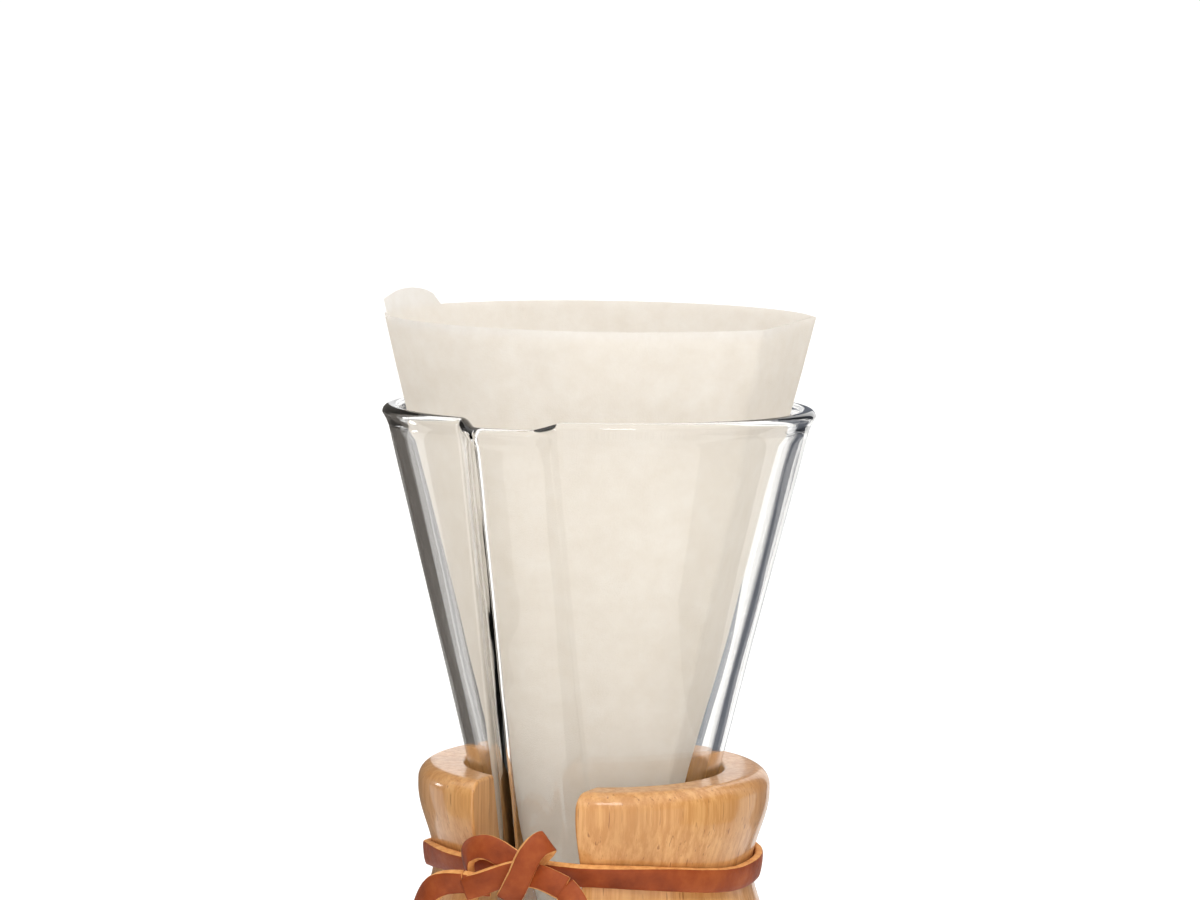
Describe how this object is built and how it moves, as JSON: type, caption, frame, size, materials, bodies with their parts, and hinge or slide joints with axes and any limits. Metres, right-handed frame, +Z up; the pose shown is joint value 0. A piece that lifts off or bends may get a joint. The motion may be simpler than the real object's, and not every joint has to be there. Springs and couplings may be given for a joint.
{
  "type": "pour-over coffee brewer",
  "caption": "One-piece glass funnel and flask with a pour channel, a two-part wooden collar tied with a leather lace, and a folded paper filter standing in the funnel.",
  "frame": {"origin": "centre of the flat base that the glass stands on", "axes": "+Z up along the funnel's axis; the pour channel, the collar's wide gap and the knot face -Y"},
  "size_m": [0.0987, 0.1026, 0.2315],
  "materials": {
    "glass": "clear polished borosilicate glass with a fire-rounded lip",
    "collar_wood": "turned light beech, clear gloss lacquer, soft edges",
    "bead_wood": "turned beech, clear lacquer",
    "lace": "smooth orange-brown face, pale tan cut edges and flesh side",
    "paper": "off-white heavy filter paper, matt, in two layers"
  },
  "bodies": {
    "root": {"glass_vessel": "glass", "collar_left": "collar_wood", "collar_right": "collar_wood", "lace_band": "lace", "lace_knot": "lace", "lace_tail_left": "lace", "lace_tail_right": "lace", "stopper_knot": "lace"},
    "bead": {"tie_bead": "bead_wood"},
    "filter": {"paper_filter": "paper"}
  },
  "joints": [
    {"name": "filter_lift", "type": "slide", "parent": "root", "child": "filter", "axis": [0, 0, 1], "range_m": [0, 0.17]},
    {"name": "bead_slide", "type": "slide", "parent": "root", "child": "bead", "axis": [0, 0, 1], "range_m": [0, 0.012]}
  ]
}
